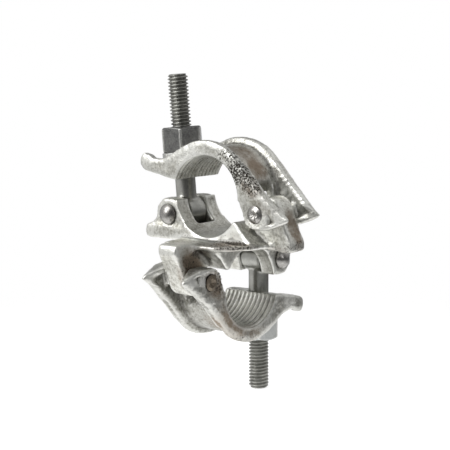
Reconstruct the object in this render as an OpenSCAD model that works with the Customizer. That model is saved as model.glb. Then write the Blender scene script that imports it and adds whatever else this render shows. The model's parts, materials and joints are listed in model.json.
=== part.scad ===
// Right-angle scaffold coupler: a forged body with two crossed tube seats. Each seat has a hinged cap
// that a swing eyebolt, a washer and a nut pull down onto the tube. Millimetres. The origin is the middle
// of the upper seat. The upper tube runs along Y and the lower tube along X. Every shape is drawn once,
// for the upper clamp and with the middle of the body as its origin: the lower clamp is the upper one
// turned half a turn about x = -y.

/* [Tubes] */
// Outer diameter of the tubes that the coupler joins
tube_d = 48.3; // [47.5:0.1:49]
// Shortest distance between the two clamped tubes
tube_gap = 6.7; // [6.2:0.1:8]
// Gap between a seat and its tube, on the radius
seat_gap = 0.05; // [0.02:0.01:0.15]

/* [Body] */
// Length of each tube seat along its tube
seat_w = 39; // [36:0.5:42]
// Width of the slot between the two bolt lugs
slot_w = 15; // [14.5:0.1:15.6]
// Width of the single hinge lug
lug_w = 14.4; // [13:0.1:15]
// Distance from the tube's axis to the hinge pin, across the clamp
hinge_out = 36.4; // [35.5:0.1:37.5]
// Distance from the tube's axis down to the hinge pin
hinge_down = 7.9; // [7:0.1:8.5]
// Distance from the tube's axis to the bolt pin, across the clamp
bolt_out = 31.4; // [31:0.1:32.5]
// Distance from the tube's axis down to the bolt pin
bolt_down = 13.05; // [12.5:0.05:14]
// Top of the mid-height flange, over the middle of the body
flange_top = 1.6; // [1:0.1:2.2]

/* [Caps] */
// Width of a cap along the tube
cap_w = 40.4; // [38:0.2:42]
// Outer radius of the two rims that run over a cap
rim_r = 33; // [32:0.2:34]
// Outer radius of the web between the rims
web_r = 30; // [29:0.2:31]
// Clear width between the rims
web_w = 25.6; // [22:0.2:28]
// Clear width between the two ears of a cap
ear_gap = 16.2; // [15.6:0.1:17]
// Width of the spot-faced recess that the washer sits in
recess_w = 28.4; // [28:0.1:29]

/* [Bolts] */
// Diameter of the bolt, a half-inch Whitworth size
bolt_d = 12.7; // [12.5:0.1:12.7]
// Length of the bolt from the middle of its eye to its end
bolt_l = 85; // [82:0.5:90]
// Lean of the upper bolt away from its clamp, in degrees
upper_lean = 5; // [0:0.5:6]
// Outer diameter of the eye
eye_d = 19.2; // [18:0.2:19.6]
// Thickness of the eye
eye_t = 14; // [13:0.1:14.2]
// Width of the nut across its flats
nut_af = 23.4; // [22:0.1:23.4]
// Height of the nut
nut_h = 15.6; // [12:0.1:16]
// Outer diameter of the washer
washer_d = 26; // [24:0.1:26.4]
// Thickness of the washer
washer_t = 3.5; // [2.5:0.1:4]

/* [Pins] */
// Diameter of the bolt pin
bolt_pin_d = 10; // [9:0.1:10]
// Diameter of the hinge pin
hinge_pin_d = 9; // [8:0.1:9.5]
// Radial running clearance of the moving holes on their pins and of the nut on its bolt
run_gap = 0.05; // [0.02:0.01:0.09]

// Diameter of the bolt pin's domed heads
bolt_head_d = 13; // [12:0.5:14]
// Height of the bolt pin's domed heads
bolt_head_h = 3.8; // [2:0.1:4.5]
// Diameter of the hinge pin's domed heads
hinge_head_d = 11; // [10:0.5:12]
// Height of the hinge pin's domed heads
hinge_head_h = 1.8; // [1:0.1:2.5]

/* [Hidden] */
$fn = 72;
tube_r = tube_d / 2;
bore_r = tube_r + seat_gap;
axis_z = tube_r + tube_gap / 2;
hinge = [hinge_out, axis_z - hinge_down];
bolt = [-bolt_out, axis_z - bolt_down];
// The washer's lower face is this far from the bolt pin, and the cap's seat a little less.
washer_up = 33.5;
seat_up = washer_up - 0.15;
// Half the width across the bolt lugs, and across the ears around the hinge pin.
lug_face = 18.3;
ear_face = 18.8;
// Distance from the middle plane to the inner side of an ear's web.
ear_web_in = 12.6;
// Middle of a cap's arch, and where the rims leave it for the ears and for the horn, in degrees.
rim_centre = [-1, -0.5];
rim_end = 40;
rim_sweep = 74;
// How far the foot of a rim's sloping inner side stands in from the web's edge, and its top out from it.
draft_foot = 1.6;
draft_top = 3.6;
// Radius of an ear's outer pocket about the hinge pin.
ear_pocket_r = 8.4;
// How far the slope under an ear's flange is turned along the ear, and how far it leans inwards, in degrees.
slope_turn = 34;
slope_lean = 26;
// The seat's walls stand past the bolt lugs below this height.
ledge_z = 7.8;
// Radial gap of the fixed pins in the body.
pin_fit = 0.01;
// How much wider the washer's hole is than the bolt, and the gap that keeps the nut off the washer.
washer_clear = 0.8;
nut_lift = 0.02;
// Heights of the nut's two chamfers, and of the one at the bolt's end.
nut_foot = 1.6;
nut_crown = 2.4;
bolt_tip = 1;
// How far each chamfer stands inside the nut's flats or the bolt's side, on the diameter, and how far
// the chamfers' wide ends stand outside the flats to clear the nut's corners.
foot_in = 0.6;
crown_in = 1.6;
tip_in = 2.4;
corner_out = 5.4;
// Gap between the hinge pin's heads and the ears.
head_gap = 0.25;
// Lengths of a cutter that passes right through a clamp, and of one that passes right through the coupler.
through = 60;
beyond = 200;
// Distance from the middle plane to a place outside every cap.
past_side = 30;
// Hexagon turns that put a corner of each nut near the front.
upper_nut_turn = 7;
lower_nut_turn = 20;
galvanised = "LightGray";
zinc = "Silver";
steel = "DarkGray";

// Points of a circular arc, from angle a to angle b in degrees.
function arc(c, r, a, b, n = 12) =
    [for (i = [0:n]) c + r * [cos(a + (b - a) * i / n), sin(a + (b - a) * i / n)]];

// Extrudes an outline of x and z along y, evenly about the middle or between two values of y.
module along_y(w) rotate([90, 0, 0]) linear_extrude(w, center = true) children();
module between_y(y0, y1) translate([0, (y0 + y1) / 2, 0]) along_y(y1 - y0) children();
module both_sides() { children(); mirror([0, 1, 0]) children(); }

// Moves a shape drawn for the upper clamp to the lower clamp.
module lower() rotate(180, [1, -1, 0]) children();

// Moves the origin from the middle of the body to the middle of the upper seat.
module placed() translate([0, 0, -axis_z]) children();

// A round bar along y through a point of x and z.
module bar_y(p, d, w) translate([p[0], 0, p[1]]) rotate([90, 0, 0]) cylinder(d = d, h = w, center = true);
module tube_space() bar_y([0, axis_z], 2 * bore_r, beyond);

// ---- body ----

// Half of the body, over the middle height: the walls of one seat, its hinge lug and its bolt lugs.
module seat_block() along_y(seat_w) {
    polygon([[-48.6, -1], [-50, 2], [-49.2, 6.8], [-44, 9.6], [-40, 14], [-25, 24], [-20, 24], [0, 12],
             [13, 11], [21.2, 14.4], [23.6, 13.2], [28.6, 6.8], [36, flange_top], [36, -1]]);
}
module bolt_lugs() along_y(2 * lug_face) translate(bolt) rotate(22.5) circle(r = 10.6, $fn = 8);
module hinge_lug() along_y(lug_w) union() {
    translate(hinge) circle(r = 9.3);
    polygon(concat([[22, -1], [27.1, hinge[1]]], [hinge, [45.4, 22]],
                   [[48.2, 15], [50.4, 9.5], [53, 5.2], [54.4, 1.6], [53.4, -2.6], [49.6, -3.2]]));
}
module bolt_slot() between_y(-slot_w / 2, slot_w / 2)
    polygon([[-70, 3.4], [-16.5, 3.4], [-16.5, 40], [-70, 40]]);
module half_body() difference() {
    union() {
        difference() {
            union() { seat_block(); bolt_lugs(); }
            bolt_slot();
            both_sides() between_y(lug_face, seat_w)
                polygon([[-60, ledge_z], [-18, ledge_z], [-18, 30], [-60, 30]]);
        }
        hinge_lug();
    }
    tube_space();
    bar_y(bolt, bolt_pin_d + 2 * pin_fit, through);
    bar_y(hinge, hinge_pin_d + 2 * pin_fit, through);
}
// The flange at the parting line of the forging, half of it: its outline is mirrored across x = -y.
flange_half = [[-19.5, -19.5], [-7.2, -30], [-7.2, -54], [7.2, -54], [7.2, -41], [11, -37], [20, -36.4],
               [26.5, -31.5], [29.2, -29.2]];
module flange() translate([0, 0, -flange_top]) linear_extrude(2 * flange_top)
    polygon(concat(flange_half,
                   [for (i = [len(flange_half) - 2:-1:1]) [-flange_half[i][1], -flange_half[i][0]]],
                   [[19.5, 19.5], [9, 30], [9, 47], [-9, 47]],
                   [[-19.5, 19.5], [-47, 9], [-47, -9], [-30, -9]]));
module body() color(galvanised) difference() {
    union() { half_body(); lower() half_body(); flange(); }
    tube_space();
    lower() tube_space();
}

// ---- caps ----

// The outline of a cap, with its horn to the left and the tips of its ears to the right.
cap_outline = concat(
    [[-50, 13.3], [-52, 16.3], [-51.7, 20.4], [-49.4, 23.5], [-46.2, 22.9], [-42.6, 20.9], [-37, 20.3]],
    [[-31.5, 21], [-27, 23], [-22.6, 25.9]],
    arc(rim_centre, rim_r, 118, rim_end),
    [[30.2, 14.6], [38, 6.3], [47, -1.6], [52.4, -5.9], [57.6, -9.2]],
    [[56.6, -11], [49, -14.2], [42.9, -16.2]],
    arc([hinge_out, -hinge_down], 8.6, 280, 180),
    [[25.4, -1], [0, -1], [-18, 8.5], [-27.8, 8.9], [-37.6, 10.8], [-45, 12.3]]);
module cap_blank() along_y(cap_w) translate([0, axis_z]) polygon(cap_outline);
// The hollow between the rims, over the web.
module web_hollow() along_y(web_w) translate([0, axis_z]) difference() {
    polygon([[-17.2, 20], [-17.2, 50], [70, 50], [70, -4], [34, -4]]);
    translate(rim_centre) circle(r = web_r);
}
// The inner sides of the rims slope outwards from the web, round the arch.
module draft_section() polygon([[web_r, 0], [web_r, web_w / 2 - draft_foot],
                                [rim_r + 1, web_w / 2 + draft_top], [rim_r + 1, 0]]);
module rim_draft() both_sides() translate([rim_centre[0], 0, axis_z + rim_centre[1]])
    rotate([90, 0, 180]) rotate(180 - rim_end - rim_sweep) rotate_extrude(angle = rim_sweep) draft_section();
// The gap between the ears takes the body's hinge lug.
module lug_gap() along_y(ear_gap) translate([0, axis_z])
    polygon([[20, -30], [24.3, 2], [29.5, 13], [31, 40], [80, 40], [80, -30]]);
// The seat under the washer is flat towards the tube and turns about the bolt pin towards the horn's end.
module washer_recess() along_y(recess_w) translate(bolt) difference() {
    polygon([[-30, 20], [-30, 60], [14.2, 60], [14.2, seat_up], [4, 20]]);
    intersection() { circle(r = seat_up, $fn = 180); translate([-40, 0]) square([40, 60]); }
    square([30, seat_up]);
}
module fork_slot() hull() for (x = [-bolt_out + 0.2, -80])
    translate([x, 0, axis_z]) cylinder(d = slot_w, h = through);
// The outer face of an ear slopes inwards from its flange to its lip.
module ear_slope() translate([46, ear_face, axis_z - 4.6])
    rotate([0, slope_turn, 0]) rotate([-slope_lean, 0, 0]) translate([-10, 0, -7]) cube([20, 20, 7]);
// Each ear is a web between its flange and its lower lip, sunk from both sides.
module ear_pockets() translate([0, 0, axis_z]) both_sides() {
    between_y(ear_face, past_side)
        polygon(concat(arc([hinge_out, -hinge_down], ear_pocket_r, 60, 262), [[50.4, -12], [52.4, -8.6]]));
    between_y(0, ear_web_in) polygon([[41, -3], [43, 1], [53, -9.2], [44, -12.4]]);
}
// The ears taper to their tips.
module ear_taper() both_sides() linear_extrude(80)
    polygon([[38, cap_w / 2], [57.5, 16.3], [70, 16.3], [70, 40], [38, 40]]);
module ear_inner_taper() both_sides() linear_extrude(80)
    polygon([[44, 0], [44, 8.1], [57.5, 14.3], [60, 14.3], [60, 0]]);
module cap() color(galvanised) difference() {
    cap_blank();
    tube_space();
    web_hollow();
    rim_draft();
    lug_gap();
    washer_recess();
    fork_slot();
    ear_pockets();
    both_sides() intersection() {
        ear_slope();
        translate([0, 0, axis_z]) between_y(0, past_side)
            polygon([[44.4, -13.4], [45.4, -1.5], [53.6, -8.2], [51.6, -11.6]]);
    }
    ear_taper();
    ear_inner_taper();
    bar_y(hinge, hinge_pin_d + 2 * run_gap, through);
}

// ---- bolts, washers and nuts ----

// Puts a shape drawn along z from the eye's middle onto the bolt's own line.
module on_bolt(lean) translate([bolt[0], 0, bolt[1]]) rotate([0, -lean, 0]) children();
module eyebolt(lean) color(zinc) on_bolt(lean) difference() {
    union() {
        rotate([90, 0, 0]) cylinder(d = eye_d, h = eye_t, center = true);
        cylinder(d = bolt_d, h = bolt_l - bolt_tip);
        translate([0, 0, bolt_l - bolt_tip]) cylinder(d1 = bolt_d, d2 = bolt_d - tip_in, h = bolt_tip);
    }
    rotate([90, 0, 0]) cylinder(d = bolt_pin_d + 2 * run_gap, h = through, center = true);
}
module washer(lean) color(zinc) on_bolt(lean) translate([0, 0, washer_up]) difference() {
    cylinder(d = washer_d, h = washer_t);
    translate([0, 0, -1]) cylinder(d = bolt_d + washer_clear, h = washer_t + 2);
}
module nut(lean, turn) color(steel) on_bolt(lean)
    translate([0, 0, washer_up + washer_t + nut_lift]) difference() {
    intersection() {
        rotate(turn) cylinder(d = nut_af / cos(30), h = nut_h, $fn = 6);
        union() {
            cylinder(d1 = nut_af - foot_in, d2 = nut_af + corner_out, h = nut_foot);
            translate([0, 0, nut_foot])
                cylinder(d = nut_af + corner_out, h = nut_h - nut_foot - nut_crown);
            translate([0, 0, nut_h - nut_crown])
                cylinder(d1 = nut_af + corner_out, d2 = nut_af - crown_in, h = nut_crown);
        }
    }
    translate([0, 0, -1]) cylinder(d = bolt_d + 2 * run_gap, h = nut_h + 2);
}

// ---- pins ----

// A domed head that stands on the plane z = 0.
module dome(d, h) {
    r = (d * d / 4 + h * h) / (2 * h);
    intersection() {
        translate([0, 0, h - r]) sphere(r = r);
        cylinder(d = d + 1, h = h + 1);
    }
}
module pin(p, d, face, head_d, head_h) color(steel) translate([p[0], 0, p[1]]) rotate([90, 0, 0]) {
    cylinder(d = d, h = 2 * face, center = true);
    for (s = [0, 180]) rotate([s, 0, 0]) translate([0, 0, face]) dome(head_d, head_h);
}
module bolt_pin() pin(bolt, bolt_pin_d, lug_face, bolt_head_d, bolt_head_h);
module hinge_pin() pin(hinge, hinge_pin_d, ear_face + head_gap, hinge_head_d, hinge_head_h);

placed() body();
placed() cap();  // upper_cap
placed() lower() cap();  // lower_cap
placed() eyebolt(upper_lean);  // upper_eyebolt
placed() lower() eyebolt(0);  // lower_eyebolt
placed() nut(upper_lean, upper_nut_turn);  // upper_nut
placed() lower() nut(0, lower_nut_turn);  // lower_nut
placed() washer(upper_lean);  // upper_washer
placed() lower() washer(0);  // lower_washer
placed() bolt_pin();  // upper_bolt_pin
placed() lower() bolt_pin();  // lower_bolt_pin
placed() hinge_pin();  // upper_hinge_pin
placed() lower() hinge_pin();  // lower_hinge_pin
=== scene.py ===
"""Looks of a forged right-angle scaffold coupler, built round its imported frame.

Lengths are millimetres, and MM turns them into Blender's metres. Only the floor, the lights and the
camera's clipping are given in metres. The upper clamp holds a tube along Y, the lower one a tube along X.
Each forging is a copy of its CAD node that is remeshed, rounded and given a hammered skin. Bolts get a
real helical thread, and nuts, washers and pins are turned shapes.
"""
import json
import math

import bmesh
import bpy
import numpy as np
from mathutils import Matrix, Vector


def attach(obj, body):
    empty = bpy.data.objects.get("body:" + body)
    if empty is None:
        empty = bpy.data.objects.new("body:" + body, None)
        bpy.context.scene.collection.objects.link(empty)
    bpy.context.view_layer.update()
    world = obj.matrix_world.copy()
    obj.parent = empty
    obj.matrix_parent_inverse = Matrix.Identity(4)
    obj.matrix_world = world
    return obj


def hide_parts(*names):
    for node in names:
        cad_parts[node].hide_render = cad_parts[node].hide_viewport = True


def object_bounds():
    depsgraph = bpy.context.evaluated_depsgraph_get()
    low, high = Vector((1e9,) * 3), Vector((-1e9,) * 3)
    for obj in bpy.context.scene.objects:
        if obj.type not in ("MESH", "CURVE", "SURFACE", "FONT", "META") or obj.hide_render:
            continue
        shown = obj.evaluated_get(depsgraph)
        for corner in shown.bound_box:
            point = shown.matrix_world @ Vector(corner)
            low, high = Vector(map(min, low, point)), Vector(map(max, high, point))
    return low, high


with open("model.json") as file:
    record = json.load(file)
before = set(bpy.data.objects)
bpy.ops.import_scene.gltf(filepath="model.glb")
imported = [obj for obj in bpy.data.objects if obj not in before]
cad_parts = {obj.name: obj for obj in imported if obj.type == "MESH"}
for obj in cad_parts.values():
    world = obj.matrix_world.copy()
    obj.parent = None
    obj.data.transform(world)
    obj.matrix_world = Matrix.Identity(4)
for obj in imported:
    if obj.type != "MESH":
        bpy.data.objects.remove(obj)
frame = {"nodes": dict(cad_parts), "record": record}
cad_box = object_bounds()

MM = 0.001
SIDES = ("upper", "lower")

# ---- sizes ----

BOLT_R = 6.35
BOLT_LENGTH = 85
THREAD_PITCH = 25.4 / 12
THREAD_DEPTH = 1.3
THREAD_START = 30
THREAD_LEAD = 1.3
THREAD_COLUMNS = 56
ROWS_PER_PITCH = 10
# Share of half a pitch over which the thread's root, and its crest, are flat.
THREAD_FLAT = 0.08
# Number of pitches over which the thread reaches its full depth.
THREAD_FADE = 1.5
MERGE_DISTANCE = 0.01
SHANK_OVERLAP = 1.0
NUT_AF = 23.4
NUT_H = 15.6
NUT_TURN = {"upper": 7, "lower": 20}
WASHER_R = 13
WASHER_T = 3.5
WASHER_UP = 33.5
NUT_UP = WASHER_UP + WASHER_T + 0.02
# Distances from the bolt's axis between which the nut's corners begin and end to be painted with highlights.
HIGHLIGHT_FROM = 12.8
HIGHLIGHT_TO = 13.5
LUG_FACE = 18.3
EAR_FACE = 18.8
BOLT_PIN_R = 5
HINGE_PIN_R = 4.5
# Radius, height and finish of the hinge pins' heads.
HINGE_HEADS = {"upper": (5.2, 1.7, "rivet"), "lower": (4.9, 0.7, "brown_rivet")}
GROOVE_PITCH = 3.2
GROOVE_DEPTH = 0.85

# Skin of the forgings: how much the caps' crests grow and where, then the depth of each kind of unevenness,
# the width of its lumps, and how far it reaches.
CREST_GROWTH = 1.1
CREST_FROM = 30
CREST_FULL = 32
WAVE_DEPTH = 0.6
WAVE_SIZE = 11
DENT_DEPTH = 0.32
DENT_SIZE = 3.4
PIT_DEPTH = 0.13
PIT_SIZE = 1.3
CRUST_DEPTH = 0.45
CRUST_SIZE = 1.5
CRUST_REACH = 12
RIDGE_PITCH = 3.1
RIDGE_DEPTH = 0.06
RIDGE_REACH = 15
# How much of the rounding and of the unevenness is left on a seat, where the tube goes.
SEAT_ROUNDING = 0.16
SEAT_UNEVENNESS = 0.12
# Edges of the remeshed squares, and rounds of smoothing.
BODY_VOXEL = 0.62
CAP_VOXEL = 0.52
EYE_VOXEL = 0.5
EYE_SMOOTHING = 8
HOLLOW_SMOOTHING = 40
# The attribute that tells how far a point lies in a hollow, in millimetres, below 0 on an edge.
HOLLOW = "hollow"


# ---- places, from the frame's joints and mounts ----

def joint(name):
    return next(j for j in frame["record"]["behaviour"]["joints"] if j["name"] == name)


def seat(side):
    """Middle, axis and radius of the round seat of one clamp."""
    mount = next(m for m in frame["record"]["mounts"] if m["name"] == f"{side}_tube_seat")
    return Vector(mount["pos_m"]), Vector(mount["axis"]), mount["dims"]["r_mm"] * MM


BODY_MIDDLE = (seat("upper")[0] + seat("lower")[0]) / 2


def from_body(x, y, z):
    """A place given in millimetres from the middle of the body."""
    return BODY_MIDDLE + Vector((x, y, z)) * MM


def axes_at(origin, x, y, z):
    """A place with the given axes and origin, whose unit is a millimetre."""
    turn = Matrix((x, y, z)).transposed().to_4x4()
    return Matrix.Translation(origin) @ turn @ Matrix.Scale(MM, 4)


def bolt_place(side):
    """The middle of the bolt's eye, with z along the bolt and y along its pin."""
    swing = joint(f"{side}_bolt_swing")
    along = Vector(joint(f"{side}_nut_travel")["axis"])
    across = -Vector(swing["axis"])
    return axes_at(Vector(swing["pos_m"]), across.cross(along), across, along)


def pin_place(name):
    """The middle of a pin, with z along it."""
    hinge = joint(name)
    along = Vector(hinge["axis"])
    side = Vector((0, 0, 1))
    return axes_at(Vector(hinge["pos_m"]), side, along.cross(side), along)


# ---- node trees ----

class Wire:
    """A socket of a node tree. An expression on wires adds the Math nodes that work it out."""

    def __init__(self, tree, socket):
        self.tree = tree
        self.socket = socket

    def math(self, operation, *values):
        return add_node(self.tree, "ShaderNodeMath", {"operation": operation}, dict(enumerate(values)))

    def __add__(self, other):
        return self.math("ADD", self, other)

    def __radd__(self, other):
        return self.math("ADD", other, self)

    def __sub__(self, other):
        return self.math("SUBTRACT", self, other)

    def __rsub__(self, other):
        return self.math("SUBTRACT", other, self)

    def __mul__(self, other):
        return self.math("MULTIPLY", self, other)

    def __rmul__(self, other):
        return self.math("MULTIPLY", other, self)

    def __truediv__(self, other):
        return self.math("DIVIDE", self, other)

    def __rtruediv__(self, other):
        return self.math("DIVIDE", other, self)

    def ramp(self, low, high):
        """0 below low, 1 above high, with a soft step between them. High may be the lower one."""
        settings = {"interpolation_type": "SMOOTHSTEP"}
        return add_node(self.tree, "ShaderNodeMapRange", settings, {0: self, 1: low, 2: high})

    def vector(self, operation, *values, out=0):
        settings = {"operation": operation}
        sockets = dict(enumerate((self, *values)))
        return add_node(self.tree, "ShaderNodeVectorMath", settings, sockets, out)

    def scaled(self, factor):
        sockets = {0: self, "Scale": factor}
        return add_node(self.tree, "ShaderNodeVectorMath", {"operation": "SCALE"}, sockets)

    def split(self):
        return [add_node(self.tree, "ShaderNodeSeparateXYZ", {}, {0: self}, out) for out in range(3)]


def add_node(tree, kind, settings=None, values=None, out=0):
    """Adds a node, sets it, then fills or links its sockets, and gives one of its outputs as a wire."""
    node = tree.nodes.new(kind)
    for name, value in (settings or {}).items():
        setattr(node, name, value)
    for key, value in (values or {}).items():
        socket = node.inputs[key]
        if not socket.enabled:
            socket = next(s for s in node.inputs if s.enabled and s.name == key)
        if isinstance(value, Wire):
            tree.links.new(value.socket, socket)
        else:
            socket.default_value = value
    outputs = node.outputs
    if kind.startswith("Geometry"):
        outputs = [socket for socket in outputs if socket.enabled]
    return Wire(tree, outputs[out]) if outputs else node


def colour_mix(factor, first, second):
    """The first colour where factor is 0, the second where it is 1."""
    values = {0: factor, 6: first, 7: second}
    return add_node(factor.tree, "ShaderNodeMix", {"data_type": "RGBA"}, values, 2)


def noise(place, size, detail=2.0, rough=0.5, seed=0.0):
    """Soft noise between 0 and 1, whose lumps are about size millimetres wide."""
    values = {"Vector": place, "W": seed, "Scale": 1 / (size * MM), "Detail": detail, "Roughness": rough}
    return add_node(place.tree, "ShaderNodeTexNoise", {"noise_dimensions": "4D"}, values)


def zone(place, middle, reach, feather=0.45):
    """1 inside an ellipsoid with that reach, its middle given from the body's, fading out over its rim."""
    centred = place.vector("SUBTRACT", from_body(*middle))
    stretched = centred.vector("DIVIDE", [r * MM for r in reach])
    return stretched.vector("LENGTH", out=1).ramp(1 + feather, 1 - feather)


def colour(r, g, b):
    return (r, g, b, 1)


def shaded(full, shade):
    """A colour made darker."""
    return colour(*(channel * shade for channel in full[:3]))


def total(parts):
    """The sum of some wires."""
    first, *others = parts
    return sum(others, start=first)


# ---- materials ----

def new_material(name):
    """A material, its node tree, its Principled shader and the wire of its Object coordinates."""
    material = bpy.data.materials.new(name)
    material.use_nodes = True
    tree = material.node_tree
    shader = tree.nodes["Principled BSDF"]
    place = add_node(tree, "ShaderNodeTexCoord", out=3)
    return material, tree, shader, place


def connect(tree, shader, **wires):
    for name, wire in wires.items():
        tree.links.new(wire.socket, shader.inputs[name.replace("_", " ")])


def bump(height, depth, strength=1.0):
    values = {"Strength": strength, "Distance": depth * MM, "Height": height}
    return add_node(height.tree, "ShaderNodeBump", {}, values)


# Bright zinc, used on edges, for painted light in the painted-light zones and for painted highlights on the
# nuts' corners.
ZINC_WEAR_AND_HIGHLIGHT = colour(0.84, 0.84, 0.80)
ZINC_LIGHT = colour(0.70, 0.695, 0.65)
ZINC_DULL = colour(0.33, 0.32, 0.275)
# Dark colour of specks and scale, also used for painted shade in hollows.
DARK_SCALE_AND_SHADE = colour(0.055, 0.05, 0.042)
# Brown of rust washes, also painted shade in one shadowed band of the body.
RUST_WASH_AND_SHADE = colour(0.27, 0.22, 0.17)


def zinc_on_forging(name, stains_and_shade, scale_and_shade_zones, painted_light_zones, shade, seed):
    """Galvanised forging: cloudy grey zinc with dark specks, painted shade in its hollows and bright edges.

    The stain zones get brown washes and the scorched ones dark scale, a few of both also painted shade; the
    painted-light zones are painted lighter, towards bright zinc.
    """
    material, tree, shader, place = new_material(name)
    hollow = add_node(tree, "ShaderNodeAttribute", {"attribute_name": HOLLOW}, out=2)
    clouds = noise(place, 16, 3, 0.55, seed)
    mottle = noise(place, 3.2, 5, 0.66, seed + 3)
    grain = noise(place, 1.25, 4, 0.75, seed + 5)
    scuffs = noise(place.vector("MULTIPLY", (1.0, 1.0, 0.16)), 1.2, 3, 0.6, seed + 8)
    stain_and_shade = total([zone(place, middle, reach) * strength for middle, reach, strength in stains_and_shade])
    scale_and_shade = total([zone(place, middle, reach) * strength for middle, reach, strength in scale_and_shade_zones])
    painted_light = total([zone(place, middle, reach) * strength for middle, reach, strength in painted_light_zones])
    dullness = (clouds * 0.55 + mottle * 0.8 + grain * 0.9 + scuffs * 0.4 - 1.34).ramp(-0.2, 0.24)
    speck = grain.ramp(0.53, 0.66) * mottle.ramp(0.44, 0.6)
    # Dark scale in the scorched zones, and painted shade where those zones cover a shadowed band.
    crust = (grain.ramp(0.45, 0.58) + 0.2) * scale_and_shade
    # Painted shade: the deeper a point lies in a hollow, the darker its zinc is painted.
    crevice_shade = (hollow + (mottle - 0.5) * 0.3).ramp(0.06, 0.42)
    dirt_and_shade = (speck * (0.5 + stain_and_shade * 0.3) + crust + crevice_shade * 0.55).ramp(0.0, 1.1)
    edge = (hollow + (grain - 0.5) * 0.5).ramp(-0.12, -0.45)
    # Brown wash in the stain zones, and painted shade where one covers the body's shadowed band.
    wash_and_shade = (stain_and_shade * (mottle * 0.9 + clouds * 0.7)).ramp(0.12, 0.95)
    base = colour_mix(dullness, shaded(ZINC_LIGHT, shade), shaded(ZINC_DULL, shade))
    # Painted light: the painted-light zones are painted lighter, towards bright zinc.
    base = colour_mix((painted_light * (1.1 - dullness * 0.4)).ramp(0.0, 1.0), base, ZINC_WEAR_AND_HIGHLIGHT)
    base = colour_mix(wash_and_shade, base, RUST_WASH_AND_SHADE)
    base = colour_mix(edge * 0.5, base, ZINC_WEAR_AND_HIGHLIGHT)
    base = colour_mix(dirt_and_shade, base, DARK_SCALE_AND_SHADE)
    roughness = 0.27 + mottle * 0.14 + grain * 0.12 + dirt_and_shade * 0.25 + wash_and_shade * 0.1
    relief = mottle * 0.6 + grain * 0.45 + scuffs * 0.25 - crust * 0.5
    connect(tree, shader, Base_Color=base, Roughness=roughness, Normal=bump(relief, 0.36))
    shader.inputs["Metallic"].default_value = 1.0
    return material


def zinc_plate(name, light, dull, gloss, grain_size, relief, side=None, root_darkening=0.0, corner_highlight=0.0):
    """Zinc plate or plain steel with fine grain.

    The roots of the thread of that side's bolt are painted darker, and its nut's corners get painted
    highlights.
    """
    material, tree, shader, place = new_material(name)
    clouds = noise(place, 7, 3, 0.55, 2)
    grain = noise(place, grain_size, 4, 0.65, 6)
    base = colour_mix((clouds * 0.6 + grain * 0.55 - 0.575).ramp(-0.2, 0.2), light, dull)
    roughness = gloss + grain * 0.2
    if root_darkening or corner_highlight:
        inverse = bolt_place(side).inverted()
        values = {"Vector": place, "Location": inverse.to_translation(), "Rotation": inverse.to_euler(),
                  "Scale": inverse.to_scale()}
        x, y, z = add_node(tree, "ShaderNodeMapping", {"vector_type": "POINT"}, values).split()
        square = x * x + y * y
        radius = square.math("SQRT", square)
        root = radius.ramp(BOLT_R - 0.25, BOLT_R - THREAD_DEPTH) * z.ramp(THREAD_START, THREAD_START + 1)
        # The thread's roots are painted darker.
        base = colour_mix(root * root_darkening * (0.2 + grain * 0.45), base, DARK_SCALE_AND_SHADE)
        # Painted highlight: the nut's corners are painted towards bright zinc.
        base = colour_mix((radius + (grain - 0.5) * 1.4).ramp(HIGHLIGHT_FROM, HIGHLIGHT_TO) * corner_highlight, base, ZINC_WEAR_AND_HIGHLIGHT)
        roughness = roughness + root * root_darkening * 0.2
    connect(tree, shader, Base_Color=base, Roughness=roughness, Normal=bump(grain + clouds * 0.4, relief))
    shader.inputs["Metallic"].default_value = 1.0
    return material


# Stained, scorched and painted-light zones, a few stained and scorched ones also painted shade: the middle,
# seen from the body's middle, the reach and the strength.
BODY_STAINS_AND_SHADE = (
    ((52, 1, 12), (8, 6, 19), 1.0),
    ((16, -40, -16), (12, 12, 12), 0.9),
    # Painted shade: this brown wash also darkens the shadowed band under the seat's end.
    ((26, -27, 1), (16, 12, 2.5), 1.0),
    ((10, -42, -12), (8, 12, 14), 0.9),
    ((44, -8, -3), (10, 8, 4), 0.7),
)
BODY_SCALE_AND_SHADE = (
    ((11, -42, -12), (5, 9, 12), 0.6),
    # Painted shade: this dark scale darkens the same shadowed band under the seat's end.
    ((27, -26, 1.2), (18, 13, 1.6), 0.75),
    ((52, 0, -1), (4, 10, 5), 0.6),
)
# Painted light: zones painted lighter, towards bright zinc.
BODY_PAINTED_LIGHT = (
    ((22, -20, 6), (9, 3, 7), 1.0),
    ((-8, -20, 1.2), (20, 4, 3), 0.9),
    ((33, -12, 6), (6, 12, 8), 0.6),
    ((2, -46, 0), (10, 12, 4), 0.6),
    ((0, -4, 3), (16, 22, 3), 0.6),
)
UPPER_STAINS = (
    ((20, 0, 56), (18, 12, 10), 0.8),
    ((30, 0, 46), (10, 11, 10), 1.0),
    ((46, -20, 28), (12, 4, 12), 0.4),
    ((34, -19, 38), (8, 4, 8), 0.7),
)
UPPER_SCALE_AND_SHADE = (
    ((17, -18, 53), (8, 5, 4), 0.8),
    ((27, -19, 45), (8, 5, 6), 1.0),
    ((35, -19, 37), (7, 5, 7), 0.9),
    # Dark scale with painted shade: this zone darkens the arch's shadowed inner edge.
    ((22, -19, 41), (8, 5, 7), 0.9),
)
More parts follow.
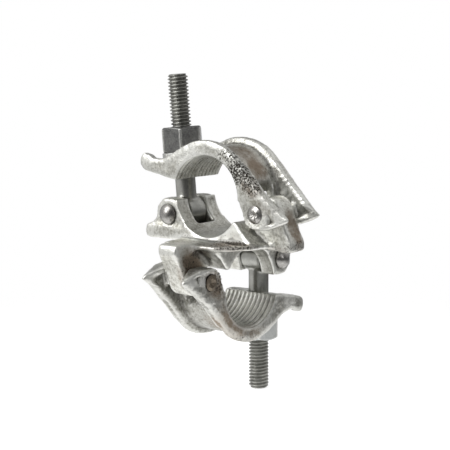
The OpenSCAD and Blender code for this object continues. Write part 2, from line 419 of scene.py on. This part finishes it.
# Painted light: zones painted lighter, towards bright zinc.
UPPER_PAINTED_LIGHT = (
    ((-10, -17, 49), (12, 8, 9), 0.8),
    ((50, -20, 17), (6, 3, 5), 0.8),
    ((-44, -14, 48), (8, 8, 5), 0.5),
    ((40, 14, 28), (13, 5, 13), 0.6),
)
LOWER_STAINS = (
    ((19, -32, -21), (6, 9, 9), 1.0),
    ((14, -22, -50), (16, 14, 12), 0.6),
    ((18, -4, -56), (8, 16, 8), 0.6),
    ((20, -26, -42), (6, 14, 12), 0.5),
)
LOWER_SCORCHED = (
    ((19, -31, -20), (4, 7, 6), 0.8),
    ((18, -8, -58), (10, 14, 4), 0.35),
    ((6, -40, -32), (10, 9, 6), 0.7),
)
# Painted light: zones painted lighter, towards bright zinc.
LOWER_PAINTED_LIGHT = (
    ((4, 8, -38), (20, 18, 16), 0.9),
    ((20, -48, -18), (5, 8, 3), 0.8),
    ((14, 38, -42), (10, 10, 7), 0.7),
)

finishes = {
    # Painted shade: each forging's shade factor darkens its zinc; the caps are painted darker than the body,
    # and the lower cap, which lies in shade, darkest.
    "body": zinc_on_forging(
        "zinc_on_body", BODY_STAINS_AND_SHADE, BODY_SCALE_AND_SHADE, BODY_PAINTED_LIGHT, shade=1.0, seed=1),
    "upper_cap": zinc_on_forging(
        "zinc_on_upper_cap", UPPER_STAINS, UPPER_SCALE_AND_SHADE, UPPER_PAINTED_LIGHT, shade=0.92, seed=11),
    "lower_cap": zinc_on_forging(
        "zinc_on_lower_cap", LOWER_STAINS, LOWER_SCORCHED, LOWER_PAINTED_LIGHT, shade=0.66, seed=21),
    "upper_nut": zinc_plate(
        "dark_nut_zinc", colour(0.22, 0.22, 0.21), colour(0.08, 0.08, 0.08),
        gloss=0.22, grain_size=0.9, relief=0.2, side="upper", corner_highlight=0.65),
    "lower_nut": zinc_plate(
        "pale_nut_zinc", colour(0.54, 0.55, 0.54), colour(0.38, 0.39, 0.38),
        gloss=0.22, grain_size=0.9, relief=0.14, side="lower", corner_highlight=0.6),
    "washer": zinc_plate(
        "washer_zinc", colour(0.70, 0.70, 0.68), colour(0.5, 0.5, 0.48),
        gloss=0.25, grain_size=0.6, relief=0.06),
    "brown_rivet": zinc_plate(
        "brown_rivet_steel", colour(0.26, 0.22, 0.17), colour(0.12, 0.10, 0.08),
        gloss=0.35, grain_size=1.0, relief=0.15),
    "rivet": zinc_plate(
        "rivet_steel", colour(0.46, 0.45, 0.43), colour(0.22, 0.21, 0.20),
        gloss=0.18, grain_size=0.8, relief=0.06),
}
for bolt_side in SIDES:
    finishes[f"{bolt_side}_bolt"] = zinc_plate(
        f"{bolt_side}_bolt_zinc", colour(0.46, 0.46, 0.43), colour(0.28, 0.28, 0.26),
        gloss=0.20, grain_size=0.7, relief=0.06, side=bolt_side, root_darkening=0.7)


# ---- geometry node trees ----

def new_tree(name, inputs):
    """A geometry tree with a Geometry input and these named ones, and a wire for each."""
    tree = bpy.data.node_groups.new(name, "GeometryNodeTree")
    tree.interface.new_socket("Geometry", in_out="INPUT", socket_type="NodeSocketGeometry")
    tree.interface.new_socket("Geometry", in_out="OUTPUT", socket_type="NodeSocketGeometry")
    for label, kind in inputs.items():
        tree.interface.new_socket(label, in_out="INPUT", socket_type=f"NodeSocket{kind}")
    group = tree.nodes.new("NodeGroupInput")
    return tree, {socket.name: Wire(tree, socket) for socket in group.outputs if socket.name}


def end_tree(tree, geometry, material):
    real = add_node(tree, "GeometryNodeRealizeInstances", {}, {"Geometry": geometry})
    coated = add_node(tree, "GeometryNodeSetMaterial", {}, {"Geometry": real, "Material": material})
    add_node(tree, "NodeGroupOutput", {}, {"Geometry": coated})


def run_tree(mesh, tree, values):
    """The mesh after a geometry tree, with the tree's named inputs set to values."""
    carrier = bpy.data.objects.new("carrier", mesh)
    bpy.context.scene.collection.objects.link(carrier)
    modifier = carrier.modifiers.new("tree", "NODES")
    modifier.node_group = tree
    for item in tree.interface.items_tree:
        if item.item_type == "SOCKET" and item.in_out == "INPUT" and item.name in values:
            modifier[item.identifier] = values[item.name]
    result = carrier.evaluated_get(bpy.context.evaluated_depsgraph_get())
    shaped = bpy.data.meshes.new_from_object(result)
    bpy.data.objects.remove(carrier)
    return shaped


def build_thread_tree():
    """A closed threaded rod along z from 0 to Length, in millimetres.

    A grid is rolled up, and its first and last pitch of rows close the two ends.
    """
    tree, given = new_tree("bolt_thread", {
        "Radius": "Float", "Depth": "Float", "Pitch": "Float", "Length": "Float", "Lead": "Float",
        "Columns": "Int", "Rows": "Int", "Material": "Material"})
    grid = add_node(tree, "GeometryNodeMeshGrid", {}, {
        "Size X": 1.0, "Size Y": 1.0, "Vertices X": given["Columns"] + 1, "Vertices Y": given["Rows"] + 1})
    x, y = add_node(tree, "GeometryNodeInputPosition").split()[:2]
    around = x + 0.5
    run = (y + 0.5) * (given["Length"] + given["Pitch"] * 2) - given["Pitch"]
    height = run.math("MAXIMUM", run, 0.0)
    height = height.math("MINIMUM", height, given["Length"])
    past = run.math("MAXIMUM", run - given["Length"], 0.0 - run)
    past = past.math("MAXIMUM", past, 0.0) / given["Pitch"]
    phase = height / given["Pitch"] - around
    phase = phase.math("FRACT", phase)
    ridge = phase * 2 - 1
    ridge = ridge.math("ABSOLUTE", ridge).ramp(THREAD_FLAT, 1 - THREAD_FLAT)
    depth = given["Depth"] * (height / given["Pitch"]).ramp(0.0, THREAD_FADE)
    radius = given["Radius"] - depth * (1 - ridge)
    chamfer = given["Radius"] + (given["Length"] - height) - given["Lead"]
    radius = radius.math("MINIMUM", radius, chamfer) * (1 - past)
    angle = around * math.tau
    across = radius * angle.math("COSINE", angle)
    upward = radius * angle.math("SINE", angle)
    rolled = add_node(tree, "ShaderNodeCombineXYZ", {}, {"X": across, "Y": upward, "Z": height})
    rod = add_node(tree, "GeometryNodeSetPosition", {}, {"Geometry": grid, "Position": rolled})
    rod = add_node(tree, "GeometryNodeMergeByDistance", {}, {"Geometry": rod, "Distance": MERGE_DISTANCE})
    end_tree(tree, rod, given["Material"])
    return tree


def tube_distance(place, middle, axis):
    """Distance from a tube's axis, the position along it and the direction away from it."""
    offset = place.vector("SUBTRACT", middle)
    along = offset.vector("DOT_PRODUCT", axis, out=1)
    away = offset.vector("SUBTRACT", axis.scaled(along))
    return away.vector("LENGTH", out=1), along, away.vector("NORMALIZE")


def blurred(place, steps, weight):
    """A place smoothed over the mesh."""
    settings = {"data_type": "FLOAT_VECTOR"}
    values = {"Value": place, "Iterations": steps, "Weight": weight}
    return add_node(place.tree, "GeometryNodeBlurAttribute", settings, values)


def build_skin_tree():
    """Rounds a remeshed forging and hammers its skin, less so at its tube seats.

    Grooves run round the first seat, and what stands out furthest from that seat's axis grows into a crest.
    """
    tree, given = new_tree("forged_skin", {
        "Rounding": "Int", "Seat middle": "Vector", "Seat axis": "Vector", "Other middle": "Vector",
        "Other axis": "Vector", "Seat radius": "Float", "Groove depth": "Float", "Groove pitch": "Float",
        "Wave": "Float", "Dent": "Float", "Pit": "Float", "Crust": "Float", "Crust middle": "Vector",
        "Crust reach": "Float", "Hollow smoothing": "Int", "Crest": "Float", "Ridge depth": "Float",
        "Ridge middle": "Vector", "Ridge direction": "Vector", "Ridge reach": "Float",
        "Seed": "Float", "Material": "Material"})
    position = add_node(tree, "GeometryNodeInputPosition")
    normal = add_node(tree, "GeometryNodeInputNormal")
    radius, along, away = tube_distance(position, given["Seat middle"], given["Seat axis"])
    other_radius = tube_distance(position, given["Other middle"], given["Other axis"])[0]
    nearest = radius.math("MINIMUM", radius, other_radius)
    off_seat = ((nearest - given["Seat radius"]) / MM).ramp(0.5, 2.6)
    soft = blurred(position, given["Rounding"], SEAT_ROUNDING + off_seat * (1 - SEAT_ROUNDING))
    rounded = add_node(tree, "GeometryNodeSetPosition", {}, {"Geometry": given["Geometry"], "Position": soft})
    wave = (noise(position, WAVE_SIZE, 2, 0.5, given["Seed"]) - 0.5) * given["Wave"] * 2
    dent = (noise(position, DENT_SIZE, 3, 0.55, given["Seed"] + 2) - 0.5) * given["Dent"] * 2
    from_crust = position.vector("SUBTRACT", given["Crust middle"]).vector("LENGTH", out=1)
    near_crust = (from_crust / given["Crust reach"]).ramp(1.3, 0.7)
    crust = (noise(position, CRUST_SIZE, 3, 0.6, given["Seed"] + 4) - 0.5) * given["Crust"] * 2 * near_crust
    pit = (noise(position, PIT_SIZE, 3, 0.6, given["Seed"] + 6) - 0.5) * given["Pit"] * 2
    from_ridges = position.vector("SUBTRACT", given["Ridge middle"])
    ridge = from_ridges.vector("DOT_PRODUCT", given["Ridge direction"], out=1) / (RIDGE_PITCH * MM) * math.tau
    near_ridges = (from_ridges.vector("LENGTH", out=1) / given["Ridge reach"]).ramp(1.2, 0.6)
    ridge = ridge.math("SINE", ridge + (wave * 3 + dent * 6) / MM) * near_ridges * given["Ridge depth"]
    height = (wave + dent + pit + crust + ridge) * (SEAT_UNEVENNESS + off_seat * (1 - SEAT_UNEVENNESS))
    phase = along / given["Groove pitch"]
    phase = phase.math("FRACT", phase) * 2 - 1
    groove = phase.math("ABSOLUTE", phase).ramp(0.25, 0.95)
    inward = away.vector("DOT_PRODUCT", normal, out=1).ramp(-0.55, -0.85)
    cut = groove * inward * given["Groove depth"] * ((radius - given["Seat radius"]) / MM).ramp(1.2, 0.6)
    outward = away.vector("DOT_PRODUCT", normal, out=1).ramp(0.1, 0.7)
    crest = (radius / MM).ramp(CREST_FROM, CREST_FULL) * outward * given["Crest"]
    offset = normal.scaled(height).vector("ADD", away.scaled(cut + crest))
    hammered = add_node(tree, "GeometryNodeSetPosition", {}, {"Geometry": rounded, "Offset": offset})
    sunk = blurred(position, given["Hollow smoothing"], 1.0).vector("SUBTRACT", position)
    sunk = sunk.vector("DOT_PRODUCT", normal, out=1) / MM
    settings = {"data_type": "FLOAT", "domain": "POINT"}
    values = {"Geometry": hammered, "Name": HOLLOW, "Value": sunk}
    hammered = add_node(tree, "GeometryNodeStoreNamedAttribute", settings, values)
    hammered = add_node(tree, "GeometryNodeSetShadeSmooth", {}, {"Geometry": hammered})
    end_tree(tree, hammered, given["Material"])
    return tree


thread_tree = build_thread_tree()
skin_tree = build_skin_tree()


# ---- pieces ----

def add_piece(name, mesh, body, replaced=()):
    """A finished mesh as a piece that rides on a body and stands for the CAD nodes it replaces."""
    piece = bpy.data.objects.new(name, mesh)
    bpy.context.scene.collection.objects.link(piece)
    mesh.shade_smooth()
    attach(piece, body)
    if replaced:
        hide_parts(*replaced)
    return piece


def remeshed(node, voxel):
    """A copy of a CAD node's mesh, merged and remeshed into even squares."""
    mesh = frame["nodes"][node].data.copy()
    work = bmesh.new()
    work.from_mesh(mesh)
    bmesh.ops.remove_doubles(work, verts=work.verts, dist=0.001 * MM)
    work.to_mesh(mesh)
    work.free()
    carrier = bpy.data.objects.new("carrier", mesh)
    bpy.context.scene.collection.objects.link(carrier)
    modifier = carrier.modifiers.new("even", "REMESH")
    modifier.mode = "VOXEL"
    modifier.voxel_size = voxel * MM
    result = carrier.evaluated_get(bpy.context.evaluated_depsgraph_get())
    even = bpy.data.meshes.new_from_object(result)
    bpy.data.objects.remove(carrier)
    return even


def forging(node, voxel, rounding, grooves, crust_at, ridges_at, ridges_along, seed):
    """One forged piece: the body or a cap. Crust gathers round one place and small ridges round another."""
    first, second = SIDES if node != "lower_cap" else SIDES[::-1]
    middle, axis, radius = seat(first)
    other_middle, other_axis, _ = seat(second if node == "body" else first)
    mesh = run_tree(remeshed(node, voxel), skin_tree, {
        "Rounding": rounding, "Seat middle": middle, "Seat axis": axis, "Other middle": other_middle,
        "Other axis": other_axis, "Seat radius": radius, "Groove depth": GROOVE_DEPTH * MM * grooves,
        "Groove pitch": GROOVE_PITCH * MM, "Wave": WAVE_DEPTH * MM, "Dent": DENT_DEPTH * MM,
        "Pit": PIT_DEPTH * MM, "Crust": CRUST_DEPTH * MM, "Crust middle": from_body(*crust_at),
        "Crust reach": CRUST_REACH * MM, "Hollow smoothing": HOLLOW_SMOOTHING,
        "Crest": CREST_GROWTH * MM * grooves, "Ridge depth": RIDGE_DEPTH * MM,
        "Ridge middle": from_body(*ridges_at), "Ridge direction": Vector(ridges_along).normalized(),
        "Ridge reach": RIDGE_REACH * MM, "Seed": float(seed), "Material": finishes[node]})
    add_piece(f"{node}_forging", mesh, node, [node])


def turned(rings, columns, limit=None, joined=False):
    """Points and faces of a shape turned about z from (radius, height) rings, in millimetres."""
    angles = np.arange(columns) * math.tau / columns
    points = []
    for radius, height in rings:
        reach = np.full(columns, float(radius))
        if limit is not None:
            reach = limit(reach, angles)
        ring = [reach * np.cos(angles), reach * np.sin(angles), np.full(columns, height)]
        points.append(np.stack(ring, axis=1))
    count = len(rings)
    faces = []
    for row in range(count if joined else count - 1):
        lower = row * columns
        upper = (row + 1) % count * columns
        for column in range(columns):
            after = (column + 1) % columns
            faces.append((lower + column, lower + after, upper + after, upper + column))
    return np.concatenate(points), faces


def solid_mesh(name, points, faces, place, material):
    """A mesh with its points put in place, doubles merged and faces pointing outwards."""
    mesh = bpy.data.meshes.new(name)
    mesh.from_pydata([place @ Vector(p) for p in points], [], faces)
    work = bmesh.new()
    work.from_mesh(mesh)
    bmesh.ops.remove_doubles(work, verts=work.verts, dist=0.002 * MM)
    bmesh.ops.recalc_face_normals(work, faces=work.faces)
    work.to_mesh(mesh)
    work.free()
    mesh.materials.append(material)
    return mesh


def arc(middle, radius, start, end, count):
    """Points of (radius, height) on an arc between two angles in degrees."""
    angles = np.radians(np.linspace(start, end, count))
    return [(middle[0] + radius * math.cos(a), middle[1] + radius * math.sin(a)) for a in angles]


def hexagon_limit(half_flats, edge):
    """Cuts rings down to a hexagon whose corners are rounded a little."""
    def limit(reach, angles):
        flat = half_flats / np.cos(angles % (math.pi / 3) - math.pi / 6)
        return -edge * np.log(np.exp(-flat / edge) + np.exp(-reach / edge))
    return limit


def nut(side):
    """Hexagon nut, chamfered at both ends, with a countersunk bore."""
    flats = NUT_AF / 2
    corner = NUT_AF / math.sqrt(3)
    wide = corner + 1.1
    bore = BOLT_R - 0.35
    rings = [(bore, 1.2), (bore + 1.4, 0)]
    rings += [(r, 0) for r in np.linspace(bore + 2, flats - 0.5, 6)]
    rings += [(flats + 0.3 + t * (corner - flats + 0.8), 0.1 + t * 1.5) for t in np.linspace(0, 1, 6)]
    rings += [(wide, h) for h in np.linspace(1.8, NUT_H - 2.5, 14)]
    rings += [(wide - t * (corner - flats + 1.6), NUT_H - 2.3 + t * 2.2) for t in np.linspace(0, 1, 10)]
    rings += [(r, NUT_H) for r in np.linspace(flats - 0.9, bore + 1.9, 6)]
    rings += [(bore + 1.5, NUT_H - 0.1), (bore, NUT_H - 1.4), (bore, NUT_H / 2)]
    points, faces = turned(rings, 144, hexagon_limit(flats, 0.09), joined=True)
    turn = Matrix.Rotation(math.radians(NUT_TURN[side]), 4, "Z")
    place = bolt_place(side) @ Matrix.Translation((0, 0, NUT_UP)) @ turn
    mesh = solid_mesh(f"{side}_nut", points, faces, place, finishes[f"{side}_nut"])
    add_piece(f"{side}_hexagon_nut", mesh, f"{side}_nut", [f"{side}_nut"])


def washer(side):
    """Thick punched washer with a rounded rim."""
    edge = 0.7
    bore = BOLT_R + 0.4
    top = WASHER_T - edge
    rings = arc((WASHER_R - edge, edge), edge, -90, 0, 6) + arc((WASHER_R - edge, top), edge, 0, 90, 6)
    rings += arc((bore + edge, top), edge, 90, 180, 6) + arc((bore + edge, edge), edge, 180, 270, 6)
    points, faces = turned(rings, 96, joined=True)
    place = bolt_place(side) @ Matrix.Translation((0, 0, WASHER_UP))
    mesh = solid_mesh(f"{side}_washer", points, faces, place, finishes["washer"])
    add_piece(f"{side}_round_washer", mesh, f"{side}_washer", [f"{side}_washer"])


def eyebolt(side):
    """Forged eye with a plain shank, and the threaded end."""
    place = bolt_place(side)
    material = finishes[f"{side}_bolt"]
    middle = place.to_translation()
    along = (place.to_3x3() @ Vector((0, 0, 1))).normalized()
    cut = middle + along * (THREAD_START + SHANK_OVERLAP) * MM
    eye = remeshed(f"{side}_eyebolt", EYE_VOXEL)
    work = bmesh.new()
    work.from_mesh(eye)
    everything = work.verts[:] + work.edges[:] + work.faces[:]
    cutting = bmesh.ops.bisect_plane(
        work, geom=everything, plane_co=cut, plane_no=along, clear_outer=True)
    rim = [e for e in cutting["geom_cut"] if isinstance(e, bmesh.types.BMEdge)]
    bmesh.ops.holes_fill(work, edges=rim, sides=0)
    for _ in range(EYE_SMOOTHING):
        free = [v for v in work.verts if (v.co - middle).dot(along) < (THREAD_START - 2) * MM]
        bmesh.ops.smooth_vert(
            work, verts=free, factor=0.5, use_axis_x=True, use_axis_y=True, use_axis_z=True)
    work.to_mesh(eye)
    work.free()
    eye.materials.clear()
    eye.materials.append(material)
    add_piece(f"{side}_bolt_eye", eye, f"{side}_eyebolt", [f"{side}_eyebolt"])
    length = BOLT_LENGTH - THREAD_START
    rows = round((length / THREAD_PITCH + 2) * ROWS_PER_PITCH)
    rod = run_tree(bpy.data.meshes.new("empty"), thread_tree, {
        "Radius": BOLT_R, "Depth": THREAD_DEPTH, "Pitch": THREAD_PITCH, "Length": float(length),
        "Lead": THREAD_LEAD, "Columns": THREAD_COLUMNS, "Rows": rows, "Material": material})
    rod.transform(place @ Matrix.Translation((0, 0, THREAD_START)))
    add_piece(f"{side}_bolt_thread", rod, f"{side}_eyebolt")


def pin_mesh(name, place, shank, half, rings, material, shape=None):
    """A pin whose two heads follow the same rings of (radius, height above the face)."""
    up = [(r, half + h) for r, h in rings]
    down = [(r, -half - h) for r, h in reversed(rings)]
    points, faces = turned(down + [(shank, -half + 1), (shank, half - 1)] + up, 72)
    if shape is not None:
        points = shape(points)
    return solid_mesh(name, points, faces, place, finishes[material])


def bolt_pin(side):
    """Pin of the eye, with a smooth domed head that stands off the lug on a short neck."""
    head_r = 6.3
    head_h = 3.6
    lift = 0.9
    ball = (head_r ** 2 + head_h ** 2) / (2 * head_h)
    half_angle = math.degrees(math.asin(head_r / ball))
    rings = [(BOLT_PIN_R, 0), (BOLT_PIN_R + 0.3, lift * 0.4), (head_r - 0.15, lift * 0.6)]
    rings += arc((0, lift + head_h - ball), ball, 90 - half_angle, 90, 16)
    place = pin_place(f"{side}_bolt_swing")
    mesh = pin_mesh(f"{side}_bolt_pin", place, BOLT_PIN_R, LUG_FACE - 0.3, rings, "rivet")
    add_piece(f"{side}_bolt_pin_rivet", mesh, "body", [f"{side}_bolt_pin"])


def punch_marks(points):
    """Sinks a ragged star into the middle of each head, where it was peened over."""
    radius = np.hypot(points[:, 0], points[:, 1])
    angle = np.arctan2(points[:, 1], points[:, 0])
    star = 1.0 + 0.55 * np.cos(4 * angle + 0.5) + 0.2 * np.cos(7 * angle)
    depth = 1.15 * np.exp(-(radius / (0.9 + 0.75 * star)) ** 2)
    lip = 0.25 * np.exp(-((radius - 2.9) / 0.7) ** 2) * (1 + 0.6 * np.cos(5 * angle + 1))
    heads = np.abs(points[:, 2]) > EAR_FACE - 0.5
    points[:, 2] -= np.sign(points[:, 2]) * (depth - lip) * heads
    return points


def hinge_pin(side):
    """Pin of the cap, with a punch mark in each head. On the lower clamp the heads are nearly flush."""
    head_r, head_h, material = HINGE_HEADS[side]
    ball = (head_r ** 2 + head_h ** 2) / (2 * head_h)
    half_angle = math.degrees(math.asin(head_r / ball))
    rings = [(HINGE_PIN_R, 0), (head_r - 0.3, 0.0), (head_r, 0.2)]
    rings += arc((0, 0.2 + head_h - ball), ball, 90 - half_angle, 90, 22)
    place = pin_place(f"{side}_cap_open")
    mesh = pin_mesh(f"{side}_hinge_pin", place, HINGE_PIN_R, EAR_FACE, rings, material, punch_marks)
    add_piece(f"{side}_hinge_pin_rivet", mesh, "body", [f"{side}_hinge_pin"])


coarse = 1.0
forging("body", BODY_VOXEL * coarse, rounding=12, grooves=0, crust_at=(44, -10, 6),
        ridges_at=(2, -48, -14), ridges_along=(0.3, 0.3, 0.9), seed=1)
forging("upper_cap", CAP_VOXEL * coarse, rounding=16, grooves=1, crust_at=(26, -19, 43),
        ridges_at=(40, 17, 30), ridges_along=(0.72, 0, -0.69), seed=12)
forging("lower_cap", CAP_VOXEL * coarse, rounding=16, grooves=1, crust_at=(19, -36, -24),
        ridges_at=(-16, -38, -32), ridges_along=(0, -0.72, 0.69), seed=23)
for clamp in SIDES:
    eyebolt(clamp)
    washer(clamp)
    nut(clamp)
    bolt_pin(clamp)
    hinge_pin(clamp)


# ---- camera, floor and light ----

VIEW_AZIMUTH = math.radians(39.78)
VIEW_ELEVATION = math.radians(8.2)
VIEW_ROLL = math.radians(-0.29)
VIEW_DISTANCE = 728.2 * MM
VIEW_SHIFT_RIGHT = -0.96 * MM
VIEW_SHIFT_UP = 8.38 * MM
LENS = 95.8
# Brightness of the room in a reflection: everywhere, and what each bright side adds to it.
ROOM = 0.13
BEHIND = 0.95
LEFT = 0.65
ABOVE = 0.4
OVER_BACK = 0.55
# Distances from the middle of the scene between which the floor fades out, in metres.
FADE_FROM = 0.10
FADE_TO = 0.34


def view_axes():
    """Right, up and back of the camera before its roll."""
    back = Vector((math.sin(VIEW_AZIMUTH) * math.cos(VIEW_ELEVATION),
                   -math.cos(VIEW_AZIMUTH) * math.cos(VIEW_ELEVATION), math.sin(VIEW_ELEVATION)))
    right = Vector((math.cos(VIEW_AZIMUTH), math.sin(VIEW_AZIMUTH), 0))
    return right, back.cross(right), back


def add_camera():
    right, up, back = view_axes()
    target = BODY_MIDDLE + right * VIEW_SHIFT_RIGHT + up * VIEW_SHIFT_UP
    cosine = math.cos(VIEW_ROLL)
    sine = math.sin(VIEW_ROLL)
    turn = Matrix((right * cosine + up * sine, up * cosine - right * sine, back)).transposed()
    data = bpy.data.cameras.new("camera")
    data.lens = LENS
    data.sensor_width = 36
    data.clip_start = 0.05
    data.clip_end = 20
    camera = bpy.data.objects.new("camera", data)
    camera.matrix_world = Matrix.Translation(target + back * VIEW_DISTANCE) @ turn.to_4x4()
    bpy.context.scene.collection.objects.link(camera)
    bpy.context.scene.camera = camera


def add_area_light(name, direction, distance, size, energy):
    """A soft white light. Its direction is given to the right, up and back as the camera sees them."""
    right, up, back = view_axes()
    data = bpy.data.lights.new(name, "AREA")
    data.shape = "RECTANGLE"
    data.size, data.size_y = size
    data.energy = energy
    lamp = bpy.data.objects.new(name, data)
    along = (right * direction[0] + up * direction[1] + back * direction[2]).normalized()
    lamp.location = BODY_MIDDLE + along * distance
    lamp.rotation_euler = (-along).to_track_quat("-Z", "Y").to_euler()
    bpy.context.scene.collection.objects.link(lamp)


def add_world():
    """A room that the camera sees as white, and that reflections see as dim with some bright sides."""
    right, up, back = view_axes()
    world = bpy.data.worlds.new("studio")
    bpy.context.scene.world = world
    world.use_nodes = True
    tree = world.node_tree
    toward = add_node(tree, "ShaderNodeTexCoord")
    white = toward.vector("DOT_PRODUCT", -back, out=1).ramp(0.84, 0.95)
    left = toward.vector("DOT_PRODUCT", (-right * 0.9 + up * 0.3).normalized(), out=1).ramp(0.25, 0.95)
    above = toward.vector("DOT_PRODUCT", Vector((0, 0, 1)), out=1).ramp(0.45, 1.0)
    over_back = toward.vector("DOT_PRODUCT", Vector((0.32, 0.76, 0.57)), out=1).ramp(0.72, 0.96)
    level = ROOM + white * BEHIND + left * LEFT + above * ABOVE + over_back * OVER_BACK
    seen = add_node(tree, "ShaderNodeLightPath")
    level = level + (1 - level) * seen
    tree.links.new(level.socket, tree.nodes["Background"].inputs["Color"])


def add_floor():
    """A pale floor under the lower bolt, fading out into the white of the room."""
    mesh = bpy.data.meshes.new("floor")
    half = 3.0
    level = cad_box[0][2]
    corners = [(-half, -half, level), (half, -half, level), (half, half, level), (-half, half, level)]
    mesh.from_pydata(corners, [], [(0, 1, 2, 3)])
    floor = bpy.data.objects.new("floor", mesh)
    bpy.context.scene.collection.objects.link(floor)
    material, tree, shader, place = new_material("pale_floor")
    tone = noise(place, 60, 2)
    connect(tree, shader, Roughness=0.6 + tone * 0.1)
    shader.inputs["Base Color"].default_value = colour(0.6, 0.6, 0.6)
    shader.inputs["Emission Color"].default_value = colour(1, 1, 1)
    shader.inputs["Emission Strength"].default_value = 0.72
    x, y = place.split()[:2]
    square = x * x + y * y
    fade = square.math("SQRT", square).ramp(FADE_FROM, FADE_TO)
    clear = add_node(tree, "ShaderNodeBsdfTransparent")
    surface = add_node(tree, "ShaderNodeMixShader", {}, {0: fade, 1: Wire(tree, shader.outputs[0]), 2: clear})
    tree.links.new(surface.socket, tree.nodes["Material Output"].inputs["Surface"])
    mesh.materials.append(material)


add_camera()
add_world()
add_floor()
add_area_light("key", (-0.8, 0.7, 0.55), 0.8, (0.5, 0.7), 4.6)
add_area_light("fill", (0.9, 0.35, 0.9), 1.2, (0.25, 0.6), 1.2)
bpy.context.scene.view_settings.view_transform = "Standard"
